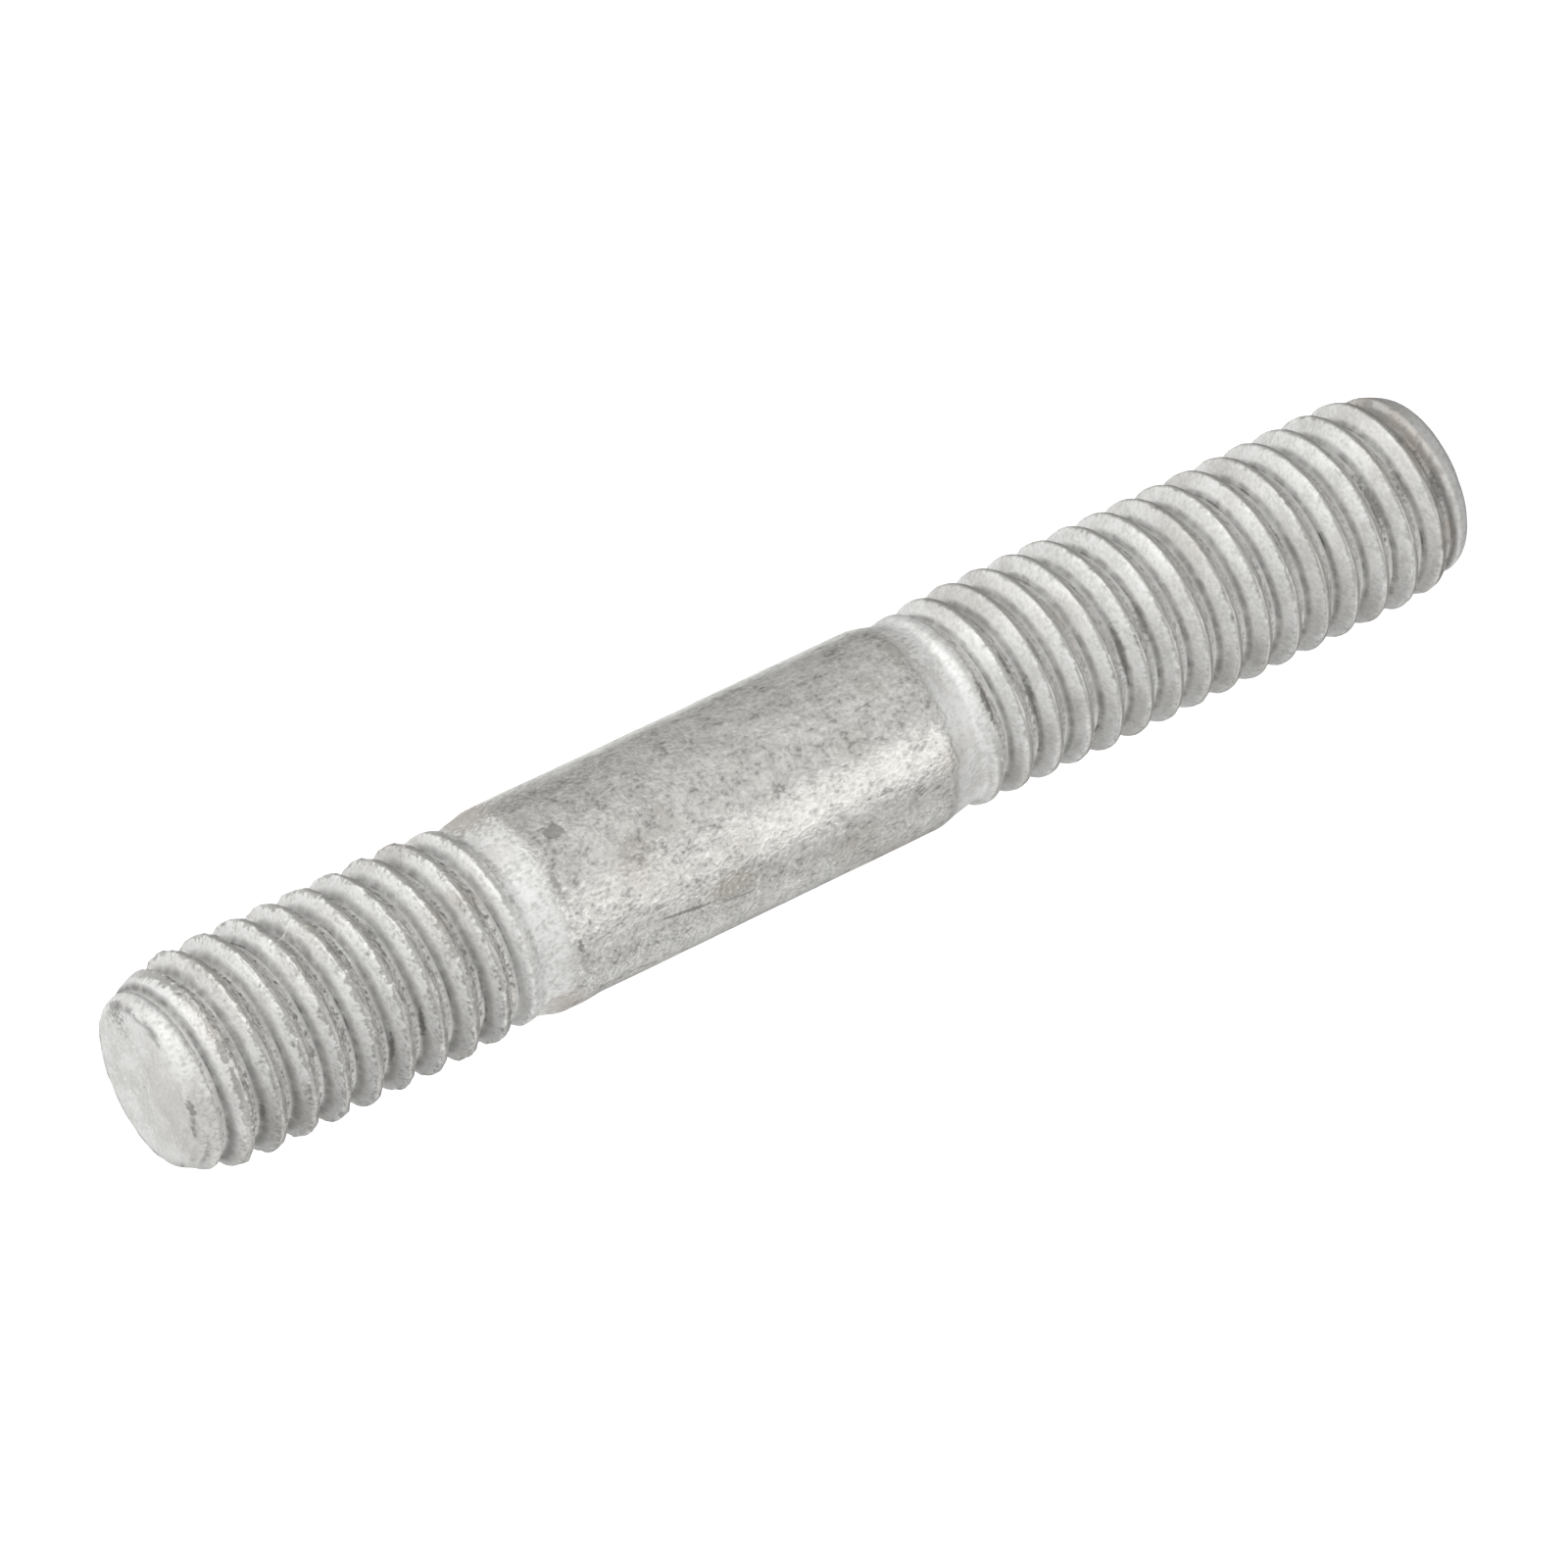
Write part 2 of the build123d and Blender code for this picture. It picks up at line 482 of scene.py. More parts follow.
@dataclass(frozen=True)
class StudSkin:
    """The whole outer surface of the stud as one closed spiral lattice."""

    long_end: ThreadedEnd
    short_end: ThreadedEnd
    columns: int = 160
    row_phases: tuple[float, ...] = (
        0.0, 0.05, 0.09, 0.14, 0.22, 0.31, 0.375, 0.43,
        0.5, 0.57, 0.625, 0.69, 0.78, 0.86, 0.91, 0.95,
    )
    face_turns: float = 1.1
    shank_turns: int = 5
    calm_rim: float = 0.03
    inset: float = 0.003
    inset_rounding: float = 0.006
    wear: Wear = Wear()

    def _stations(self) -> tuple[Array, Array]:
        """Where the lattice's turns lie along the outline from pole to pole.

        On each thread one turn is one pitch, and turn 0 plus a whole number is a crest.
        The shank takes a few turns more than its length asks, and each face about one.

        Returns:
            Turns, and distance along the outline: the lower face's radius, then the
            height, then the upper face's radius back to the axis.
        """
        low, high = self.long_end, self.short_end
        pitch = low.form.pitch
        low_turn = math.floor(low.crest_height / pitch) - low.crest_height / pitch
        low_exit = low_turn + low.foot / pitch
        offset = (high.foot - high.crest_height) / pitch
        high_entry = math.ceil(low_exit) + self.shank_turns + offset - math.floor(offset)
        high_turn = high_entry + (high.face_height - high.foot) / pitch
        first, last = low_turn - self.face_turns, high_turn + self.face_turns
        turns = [first, low_turn, low_exit, high_entry, high_turn, last]
        heights = np.array([0.0, low.foot, high.foot, high.face_height])
        sides = low.flat_radius + heights
        length = [0.0, *sides, sides[-1] + high.flat_radius]
        return np.array(turns), np.array(length)

    def _lattice(self) -> tuple[Array, Array, Array, Array]:
        """Places of the lattice points.

        Row i and column j lie at turn floor(i / rows) + phase(i) + j / columns, so a row
        follows the helix and joins the row one turn on after the last column.

        Returns:
            Turn, angle, height and distance along the outline of each point.
        """
        turns, length = self._stations()
        whole = np.arange(math.floor(turns[0]) - 1, math.ceil(turns[-1]) + 2)
        rows = (whole[:, None] + np.array(self.row_phases)[None, :]).ravel()
        column = np.arange(self.columns) / self.columns
        turn = rows[:, None] + column[None, :]
        angle = np.broadcast_to(column * TURN, turn.shape)
        run = np.interp(turn, turns, length)
        height = np.clip(run - self.long_end.flat_radius, 0.0, self.short_end.face_height)
        return turn, angle, height, run

    def _from_ends(self, height: Array) -> tuple[Array, Array, Array]:
        """How heights lie on the end that each belongs to.

        Args:
            height: Heights on the axis.

        Returns:
            Whether each is on the long end's half, its distance from the shank's end and
            its distance from the free face.
        """
        low, high = self.long_end, self.short_end
        lower = height < SHANK_MIDDLE
        away = np.where(lower, low.away(height), high.away(height))
        depth = np.where(lower, low.depth(height), high.depth(height))
        return lower, away, depth

    def _radius(self, angle: Array, height: Array, run: Array) -> Array:
        """Radius of each lattice point: an end face's own, or that of the side.

        Args:
            angle: Angles of the points.
            height: Their heights.
            run: Their distances along the outline.

        Returns:
            The radii.
        """
        low, high = self.long_end, self.short_end
        lower = height < SHANK_MIDDLE
        side = np.where(lower, low.radius(angle, height), high.radius(angle, height))
        past_low = np.maximum(low.flat_radius - run, 0.0)
        past_high = np.maximum(run - low.flat_radius - high.face_height, 0.0)
        on_face = (past_low > 0.0) | (past_high > 0.0)
        face = np.where(past_low > 0.0, low.flat_radius - past_low, high.flat_radius - past_high)
        return np.where(on_face, np.maximum(face, 0.0), side)

    @staticmethod
    def _places(radius: Array, angle: Array, height: Array) -> Array:
        """Points with x, y and z last."""
        return np.stack([radius * np.cos(angle), radius * np.sin(angle), height], axis=-1)

    def _quads(self, turn: Array) -> Array:
        """Faces of the lattice, with all points past a pole made that pole.

        A quad with one corner at a pole starts at the corner before it, so that its
        diagonal doesn't run along the line that its other points lie on.

        Args:
            turn: Turns of the lattice points.

        Returns:
            Four point numbers each. The lower pole comes after the last lattice point,
            and the upper pole after the lower.
        """
        turns, _ = self._stations()
        low_pole, high_pole = turn.size, turn.size + 1
        index = np.arange(turn.size).reshape(turn.shape)
        index = np.where(turn <= turns[0] + SAME_TURN, low_pole, index)
        index = np.where(turn >= turns[-1] - SAME_TURN, high_pole, index)
        step = len(self.row_phases)
        here = index[:-step]
        right = np.concatenate([index[:-step, 1:], index[step:, :1]], axis=1)
        quads = np.stack([here[:-1], right[:-1], right[1:], here[1:]], axis=-1)
        quads = quads.reshape(-1, 4)
        lone = (quads >= low_pole).sum(axis=1) == 1
        quads[lone] = np.roll(quads[lone], 1, axis=1)
        return quads

    @staticmethod
    def _masks(radius: Array, away: Array, depth: Array) -> dict[str, Array]:
        """How far each point belongs to each finish.

        Args:
            radius: Radii of the points.
            away: Their distances from the shank's end.
            depth: Their distances from the free face.

        Returns:
            Values from 0 to 1 by name: "blank" is 1 on the shank, which no die has
            touched, "thread" is 1 where the thread is cut to its full depth, "groove" is
            1 on the lead too, "face" is 1 on the end faces, and "rim" along their edges.
        """
        rolled = ease((away - 1.1) / 0.8)
        edge = np.exp(-(((depth - 0.04) / 0.09) ** 2))
        return {
            "blank": 1.0 - ease((away + 0.25) / 0.95),
            "thread": rolled * ease((depth - 0.35) / 0.8),
            "groove": rolled * ease((depth - 0.15) / 0.3),
            "face": ease((0.02 - depth) / 0.02),
            "rim": edge * ease((radius - 2.1) / 0.15),
        }

    def mesh(self, name: str) -> bpy.types.Mesh:
        """The skin as a mesh, worn and held inside the crest radius.

        Args:
            name: Name of the mesh.

        Returns:
            The mesh, in metres, with the zones' masks as attributes.
        """
        low, high = self.long_end, self.short_end
        turn, angle, height, run = self._lattice()
        lower, away, depth = self._from_ends(height)
        radius = self._radius(angle, height, run)
        roughness = np.where(lower, low.roughness, high.roughness)
        points = self._places(radius, angle, height)
        rise = self.wear.rise(points, radius, away, depth, roughness)
        side = (run > low.face_radius) & (depth > self.calm_rim)
        radius = radius + np.where(side, rise, 0.0)
        limit = np.full_like(radius, low.form.crest_radius - self.inset)
        radius = soft_min(radius, limit, self.inset_rounding)
        poles = np.array([[0.0, 0.0, 0.0], [0.0, 0.0, high.face_height]])
        points = self._places(radius, angle, height).reshape(-1, 3)
        masks = {
            label: np.append(values.ravel(), [1.0, 1.0])
            for label, values in self._masks(radius, away, depth).items()
        }
        points = np.concatenate([points, poles])
        return self._to_mesh(name, points, self._quads(turn), masks)

    @staticmethod
    def _to_mesh(
        name: str, vertices: Array, quads: Array, masks: dict[str, Array]
    ) -> bpy.types.Mesh:
        """Mesh from points and quads, with the collapsed ones at the poles made triangles.

        Args:
            name: Name of the mesh.
            vertices: Points in millimetres.
            quads: Four point numbers each, repeated where a quad has collapsed.
            masks: Values of each point by name, kept as attributes.

        Returns:
            A mesh with no loose points, smooth shaded.
        """
        repeats = quads == np.roll(quads, -1, axis=1)
        whole = quads[repeats.sum(axis=1) == 0]
        folded = repeats.sum(axis=1) == 1
        triangles = quads[folded][~repeats[folded]].reshape(-1, 3)
        used, flat = np.unique(
            np.concatenate([whole.ravel(), triangles.ravel()]), return_inverse=True
        )
        split = whole.size
        faces = flat[:split].reshape(-1, 4).tolist() + flat[split:].reshape(-1, 3).tolist()
        mesh = bpy.data.meshes.new(name)
        mesh.from_pydata((vertices[used] * MM).tolist(), [], faces)
        for label, values in masks.items():
            layer = mesh.attributes.new(label, "FLOAT", "POINT")
            layer.data.foreach_set("value", values[used].astype(np.float32))
        mesh.update()
        mesh.shade_smooth()
        return mesh


class Signal:
    """A node's output that adds Math nodes when it is used in sums."""

    def __init__(self, tree: bpy.types.NodeTree, socket: bpy.types.NodeSocket) -> None:
        """Wraps a socket of a tree."""
        self.tree = tree
        self.socket = socket

    def _math(self, operation: str, first: Any, second: Any = None) -> "Signal":
        """One Math node on one or two values.

        Args:
            operation: The node's operation.
            first: A signal or a number.
            second: A signal, a number or nothing.

        Returns:
            The result.
        """
        node = self.tree.nodes.new("ShaderNodeMath")
        node.operation = operation
        for slot, value in enumerate((first, second)):
            if isinstance(value, Signal):
                self.tree.links.new(value.socket, node.inputs[slot])
            elif value is not None:
                node.inputs[slot].default_value = value
        return Signal(self.tree, node.outputs[0])

    def __add__(self, other: Any) -> "Signal":
        """This plus other."""
        return self._math("ADD", self, other)

    __radd__ = __add__

    def __sub__(self, other: Any) -> "Signal":
        """This less other."""
        return self._math("SUBTRACT", self, other)

    def __rsub__(self, other: Any) -> "Signal":
        """Other less this."""
        return self._math("SUBTRACT", other, self)

    def __mul__(self, other: Any) -> "Signal":
        """This times other."""
        return self._math("MULTIPLY", self, other)

    __rmul__ = __mul__

    def __truediv__(self, other: Any) -> "Signal":
        """This over other."""
        return self._math("DIVIDE", self, other)

    def size(self) -> "Signal":
        """This without its sign."""
        return self._math("ABSOLUTE", self)

    def fraction(self) -> "Signal":
        """What is left above the whole number below this."""
        return self._math("FRACT", self)

    def bearing(self, across: "Signal") -> "Signal":
        """Angle whose sine side is this and whose cosine side is the other."""
        return self._math("ARCTAN2", self, across)

    def near(self, middle: float, reach: float) -> "Signal":
        """Smooth bump of height 1 about a middle value, down to 0 at twice the reach."""
        return 1.0 - (self - middle).size().step(0.0, 2.0 * reach)

    def larger(self, other: Any) -> "Signal":
        """The larger of this and other."""
        return self._math("MAXIMUM", self, other)

    def held(self) -> "Signal":
        """This, held between 0 and 1."""
        return self._math("MINIMUM", self._math("MAXIMUM", self, 0.0), 1.0)

    def step(self, start: float, stop: float) -> "Signal":
        """Smooth step from 0 where this is start to 1 where it is stop."""
        share = ((self - start) / (stop - start)).held()
        return share * share * (3.0 - 2.0 * share)


class Bench:
    """Adds nodes to one tree."""

    def __init__(self, tree: bpy.types.NodeTree) -> None:
        """Clears the tree."""
        self.tree = tree
        tree.nodes.clear()

    def add(
        self,
        kind: str,
        settings: dict[str, Any],
        sockets: dict[Any, Any],
        output: int | str | None = 0,
    ) -> Signal | None:
        """One node of any type.

        Args:
            kind: The node's type.
            settings: Its properties, set first.
            sockets: Values or signals for its inputs, by name or number.
            output: Name or number of the output to return, if it has any.

        Returns:
            That output.
        """
        node = self.tree.nodes.new(kind)
        for name, value in settings.items():
            setattr(node, name, value)
        for name, value in sockets.items():
            if isinstance(value, Signal):
                self.tree.links.new(value.socket, node.inputs[name])
            else:
                node.inputs[name].default_value = value
        return None if output is None else Signal(self.tree, node.outputs[output])

    def noise(self, place: Signal, size_mm: float, detail: float) -> Signal:
        """Noise of a size in millimetres on coordinates in metres, from 0 to 1."""
        sockets = {"Vector": place, "Scale": 1.0 / (size_mm * MM), "Detail": detail}
        return self.add("ShaderNodeTexNoise", {"noise_dimensions": "3D"}, sockets, "Fac")

    def blend(self, share: Signal, first: Any, second: Any) -> Signal:
        """Mix of two colours, or signals of colour, with a share of the second."""
        sockets = {0: share, 6: first, 7: second}
        return self.add("ShaderNodeMix", {"data_type": "RGBA"}, sockets, 2)


@dataclass(frozen=True)
class Specks:
    """Specks on the coat: the noises' weights, a step's start and stop, and strengths."""

    fine: float
    grain: float
    cloud: float
    start: float
    stop: float
    long_share: float = 1.0
    short_share: float = 1.0


@dataclass(frozen=True)
class DullZincCoat:
    """Matte silver-grey zinc coat: mottled on the blank's skin, smooth where rolled."""

    blank_pale: Colour = (0.66, 0.652, 0.622, 1.0)
    blank_dark: Colour = (0.42, 0.413, 0.392, 1.0)
    rolled_pale: Colour = (0.75, 0.75, 0.735, 1.0)
    rolled_dark: Colour = (0.6, 0.597, 0.58, 1.0)
    crest_grey: Colour = (0.34, 0.335, 0.32, 1.0)
    speck: Colour = (0.20, 0.196, 0.187, 1.0)
    # Pale colour of the painted highlights, the bared rims and the pale scratches.
    glint: Colour = (0.85, 0.845, 0.82, 1.0)
    # Dark colour for painted shade in the grooves and for the soiling marks.
    grime_and_shade: Colour = (0.12, 0.117, 0.11, 1.0)
    brown: Colour = (0.36, 0.31, 0.265, 1.0)
    metallic: float = 0.3
    rolled_roughness: float = 0.66
    blank_roughness: float = 0.4
    face_roughness: float = 0.95
    fine_size: float = 0.11
    grain_size: float = 0.3
    cloud_size: float = 1.1
    haze_size: float = 2.6
    axial_scale: float = 0.8
    tone: Specks = Specks(0.45, 0.35, 0.2, 0.36, 0.62)
    pits: Specks = Specks(0.45, 0.35, 0.2, 0.44, 0.37, 0.55, 0.55)
    calm: Specks = Specks(0.45, 0.2, 0.35, 0.38, 0.6)
    dust: Specks = Specks(0.65, 0.35, 0.0, 0.49, 0.38, 0.144, 0.36)
    # Pale specks of painted highlight.
    painted_glints: Specks = Specks(0.7, 0.3, 0.0, 0.6, 0.68, 0.6, 0.6)
    # Dark scale on the far flanks: painted shade, in specks.
    far_shade_scale: Specks = Specks(0.5, 0.5, 0.0, 0.52, 0.4, 0.46, 0.8)
    far_flecks: Specks = Specks(0.5, 0.5, 0.0, 0.53, 0.62, 0.32, 0.72)
    rim_dirt: Specks = Specks(0.2, 0.3, 0.5, 0.49, 0.57, 0.1875, 0.75)
    rim_glints: Specks = Specks(0.2, 0.3, 0.5, 0.47, 0.4, 0.175, 0.7)
    lead_brown: Specks = Specks(0.0, 0.0, 1.0, 0.42, 0.58, 0.5, 0.5)
    lead_scale: Specks = Specks(0.0, 1.0, 0.0, 0.5, 0.42, 0.5, 0.5)
    # Share of brown painted shade on the far flanks.
    far_shade_brown_share: float = 0.5
    stain_share: float = 0.25
    # Strength of the painted shadow on the flanks' feet.
    foot_shade_share: float = 0.34
    lead_share: float = 0.28
    relief_strength: float = 0.8
    relief_height: float = 0.07

    def material(self, name: str) -> bpy.types.Material:
        """The finished material.

        Args:
            name: Its name.

        Returns:
            The material.
        """
        material = bpy.data.materials.new(name)
        material.use_nodes = True
        bench = Bench(material.node_tree)
        painter = CoatPainter(bench, self)
        sockets = {
            "Base Color": painter.colour,
            "Metallic": self.metallic,
            "Roughness": painter.roughness(),
            "Normal": painter.normal(),
        }
        shader = bench.add("ShaderNodeBsdfPrincipled", {}, sockets)
        bench.add("ShaderNodeOutputMaterial", {}, {"Surface": shader}, None)
        return material


class CoatPainter:
    """Lays a coat's layers one over another in the nodes of a material."""

    def __init__(self, bench: Bench, coat: DullZincCoat) -> None:
        """Makes the signals that the layers share, then lays the layers.

        Args:
            bench: The material's nodes.
            coat: The coat's colours, sizes and strengths.
        """
        self.bench = bench
        self.coat = coat
        self.place = bench.add("ShaderNodeTexCoord", {}, {}, "Object")
        stretch = Vector((1.0, 1.0, coat.axial_scale))
        drawn = bench.add("ShaderNodeMapping", {}, {"Vector": self.place, "Scale": stretch})
        self.fine = bench.noise(drawn, coat.fine_size, 4.0)
        self.grain = bench.noise(drawn, coat.grain_size, 3.0)
        self.cloud = bench.noise(self.place, coat.cloud_size, 3.0)
        self.haze = bench.noise(self.place, coat.haze_size, 2.0)
        self.blank, self.thread, self.groove, self.face, self.rim = (
            bench.add("ShaderNodeAttribute", {"attribute_name": label}, {}, "Fac")
            for label in ("blank", "thread", "groove", "face", "rim")
        )
        self._find_helix()
        fray = self._by_end(0.12, 0.28) * (self.grain + self.fine - 1.0)
        edge = self.phase.size() + fray + self._by_end(0.02, 0.0)
        self.crest = self.thread * (1.0 - edge.step(0.05, 0.14))
        frayed = self.blank + 1.5 * (0.5 * self.grain + 0.5 * self.fine - 0.5)
        self.skin = frayed.step(0.32, 0.68).larger(self.crest)
        self.colour = self.bench.blend(self.skin, self._rolled_face(), self._blank_skin())
        self._lay_glints_and_stains()
        self._lay_far_flanks()
        self._lay_grooves_and_rims()
        self._lay_lead()
        self._lay_marks()

    def _find_helix(self) -> None:
        """Finds the height, the end and the phase.

        The height is in millimetres, and upper is 1 on the short end's half. The height
        less the crest's, less the angle as a share of a turn, gives the helix's turns.
        Their fraction gives the phase: the distance from the nearest crest in pitches,
        plus towards the short end. The second phase wavers slowly.
        """
        x, y, z = (
            self.bench.add("ShaderNodeSeparateXYZ", {}, {"Vector": self.place}, axis)
            for axis in "XYZ"
        )
        self.height = z / MM
        self.upper = self.height.step(SHANK_MIDDLE + 0.1, SHANK_MIDDLE + 0.3)
        crest = self._by_end(LONG_CREST, SHORT_CREST)
        turns = self.height - crest - y.bearing(x) / TURN
        self.phase = (turns + 0.5).fraction() - 0.5
        self.wavering = self.phase + 0.05 * (self.cloud - 0.5)

    def _by_end(self, long: float, short: float) -> Signal:
        """One value on the long end and another on the short end."""
        return long + (short - long) * self.upper

    def _specks(self, kind: Specks) -> Signal:
        """Where specks of a kind lie, times their strength on each end."""
        noise = kind.fine * self.fine + kind.grain * self.grain + kind.cloud * self.cloud
        share = self._by_end(kind.long_share, kind.short_share)
        return share * noise.step(kind.start, kind.stop)

    def _lay(self, share: Signal, paint: Colour) -> None:
        """Covers a share of the colour so far."""
        self.colour = self.bench.blend(share, self.colour, paint)

    def _blank_skin(self) -> Signal:
        """Colour of the blank's own skin: mottled and pitted, and greyer on the crests."""
        coat = self.coat
        tone = self._specks(coat.tone)
        colour = self.bench.blend(tone, coat.blank_dark, coat.blank_pale)
        return self.bench.blend(self._specks(coat.pits), colour, coat.speck)

    def _rolled_face(self) -> Signal:
        """Colour of the rolled faces: calm, with dust where nothing has wiped it off."""
        coat = self.coat
        colour = self.bench.blend(self._specks(coat.calm), coat.rolled_dark, coat.rolled_pale)
        dusty = 1.0 - self.face - 0.7 * self.thread * self.phase.near(0.2, 0.16)
        dusty = dusty - 0.5 * (1.0 - self.thread - self.blank).held()
        return self.bench.blend(self._specks(coat.dust) * dusty.held(), colour, coat.speck)

    def _lay_glints_and_stains(self) -> None:
        """Greys the crests, then lays pale specks of painted highlight and broad brown stains
        over the whole.
        """
        coat = self.coat
        self._lay((0.2 + 0.7 * self._specks(coat.tone)) * self.crest, coat.crest_grey)
        # Pale specks of painted highlight, stronger on the short end and on the skin.
        among = self._by_end(0.5, 0.8) + 0.2 * self.skin
        self._lay(self._specks(coat.painted_glints) * among, coat.glint)
        stain = (self.haze + 0.25 * self.grain).step(0.66, 0.78)
        self._lay(coat.stain_share * stain, coat.brown)

    def _lay_far_flanks(self) -> None:
        """Lays brown patches and dark scale on the flanks that face the long end, a mottled
        painted shade on the side turned from the key lamps, then pale flecks.
        """
        coat = self.coat
        far = self.thread * (-1.0 * self.wavering).step(0.07, 0.16)
        # Brown patches and dark scale: painted shade on the flanks turned away from the key
        # lamps.
        patches = (3.2 * self.grain - 1.1).held()
        self._lay(coat.far_shade_brown_share * far * patches, coat.brown)
        self._lay(self._specks(coat.far_shade_scale) * far, coat.speck)
        self._lay(self._specks(coat.far_flecks) * far, coat.rolled_pale)

    def _lay_grooves_and_rims(self) -> None:
        """Lays painted shade with soiling in the grooves; specks the rims and bares them in
        places.

        A broad dark line runs beside each root, and two thin ones take turns with each
        other: painted shade in the roots' corners, with soiling in it. The foot of each
        flank gets a mottled painted shadow of the next crest. All are stronger on the lead.
        """
        coat = self.coat
        patchy = (3.0 * self.cloud - 1.0).held()
        # Dark lines along the roots' corners: painted shade, with soiling in it.
        broad = 0.5 * self.wavering.near(0.375, 0.05)
        near = patchy * self.wavering.near(0.41, 0.025)
        far = 0.7 * (1.0 - patchy) * self.wavering.near(-0.47, 0.02)
        root_shade_and_grime = self.groove * broad.larger(near).larger(far)
        root_shade_and_grime = root_shade_and_grime * (1.0 + 0.8 * (self.groove - self.thread))
        # Painted shadow of the next crest on each flank's foot, in mottled patches.
        fray = 0.12 * (self.grain + self.fine - 1.0)
        foot = self.phase + self._by_end(0.0, 0.05) + fray
        foot_shade = self.groove * foot.step(0.29, 0.37)
        mottle = (2.4 * self.grain + 1.8 * self.fine - 1.3).held()
        painted_shade_and_grime = root_shade_and_grime * (0.2 + 0.8 * self.grain) + coat.foot_shade_share * foot_shade * mottle
        painted_shade_and_grime = painted_shade_and_grime.held().larger(self._specks(coat.rim_dirt) * self.rim)
        self._lay(self._specks(coat.rim_glints) * self.rim, coat.glint)
        # Painted shade of the grooves and dark specks of the rims, in one dark colour.
        self._lay(painted_shade_and_grime, coat.grime_and_shade)

    def _lay_lead(self) -> None:
        """Dulls the long end's lead, with brown and dark patches next to the face."""
        coat = self.coat
        dull = self.height.step(1.7, 0.7) * (1.0 - self.face)
        self._lay(coat.lead_share * dull, coat.crest_grey)
        inner = dull * self.height.step(0.45, 0.75)
        self._lay(self._specks(coat.lead_brown) * inner, coat.brown)
        self._lay(self._specks(coat.lead_scale) * inner, coat.speck)

    def _lay_marks(self) -> None:
        """Lays the single marks, one kind after another."""
        coat = self.coat
        paints = {DARK: coat.speck, BROWN: coat.brown, PALE: coat.glint, GRIME: coat.grime_and_shade}
        for kind, paint in paints.items():
            shares = [self._inside(mark) for mark in MARKS if mark.kind is kind]
            self._lay(functools.reduce(Signal.larger, shares), paint)

    def _inside(self, mark: Mark) -> Signal:
        """How strong a mark is: full inside its ellipse, with a frayed edge.

        Args:
            mark: The mark.

        Returns:
            The strength.
        """
        centre, axes = mark.frame()
        sockets = {
            "Vector": self.place,
            "Location": centre * MM,
            "Rotation": axes.to_euler(),
            "Scale": Vector((mark.half_length, mark.half_width, 1.0)) * MM,
        }
        local = self.bench.add("ShaderNodeMapping", {"vector_type": "TEXTURE"}, sockets)
        length = {"operation": "LENGTH"}
        reach = self.bench.add("ShaderNodeVectorMath", length, {0: local}, "Value")
        frayed = reach + mark.fray * (self.fine - 0.5)
        return mark.strength * (1.0 - frayed.step(0.5, 1.1))

    def roughness(self) -> Signal:
        """Roughness: less on the blank's skin than where it is rolled, most on the faces."""
        rolled, blank = self.coat.rolled_roughness, self.coat.blank_roughness
        side = rolled + (blank - rolled) * self.skin
        return side.larger(self.coat.face_roughness * self.face)

    def normal(self) -> Signal:
        """Normal of the coat's fine relief, which is stronger on the blank's skin."""
        depth = self._by_end(0.3, 0.7) + 0.5 * self.skin
        sockets = {
            "Strength": self.coat.relief_strength,
            "Distance": self.coat.relief_height * MM,
            "Height": (0.6 * self.fine + 0.4 * self.grain) * depth,
        }
        return self.bench.add("ShaderNodeBump", {}, sockets, "Normal")


@dataclass(frozen=True)
class Stud:
    """The stud: one skin on the long, nut, end, the plain shank and the short, tap, end."""

    coat: DullZincCoat = DullZincCoat()
    long_end: ThreadedEnd = ThreadedEnd(
        face_height=0.0,
        shank_height=SHANK_FOOT,
        crest_height=LONG_CREST,
        face_radius=2.48,
        corner=0.2,
        chamfer_length=1.5,
        shoulder_start=-0.1,
        shoulder_length=1.15,
        runout_start=0.3,
        runout_length=3.0,
        roughness=0.014,
        form=ThreadForm(crest_rounding=0.09, root_rounding=0.08),
        slack=0.05,
    )
    short_end: ThreadedEnd = ThreadedEnd(
        face_height=OVERALL_LENGTH,
        shank_height=SHANK_TOP,
        crest_height=SHORT_CREST,
        face_radius=2.3,
        corner=0.16,
        chamfer_length=1.75,
        shoulder_start=0.05,
        shoulder_length=1.3,
        runout_start=0.45,
        runout_length=2.7,
        roughness=0.045,
        runout_power=2.0,
    )

    def build(self) -> bpy.types.Object:
        """Builds the skin, dresses it and puts it in the solid's place.

        Returns:
            The skin's object.
        """
        skin = StudSkin(self.long_end, self.short_end)
        mesh = skin.mesh("stud_skin")
        mesh.materials.append(self.coat.material("dull_zinc_coat"))
        piece = bpy.data.objects.new("stud_skin", mesh)
        bpy.context.scene.collection.objects.link(piece)
        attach(piece, "root")
        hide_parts("stud")
        LOG.info("stud_skin: %d faces", len(mesh.polygons))
        return piece


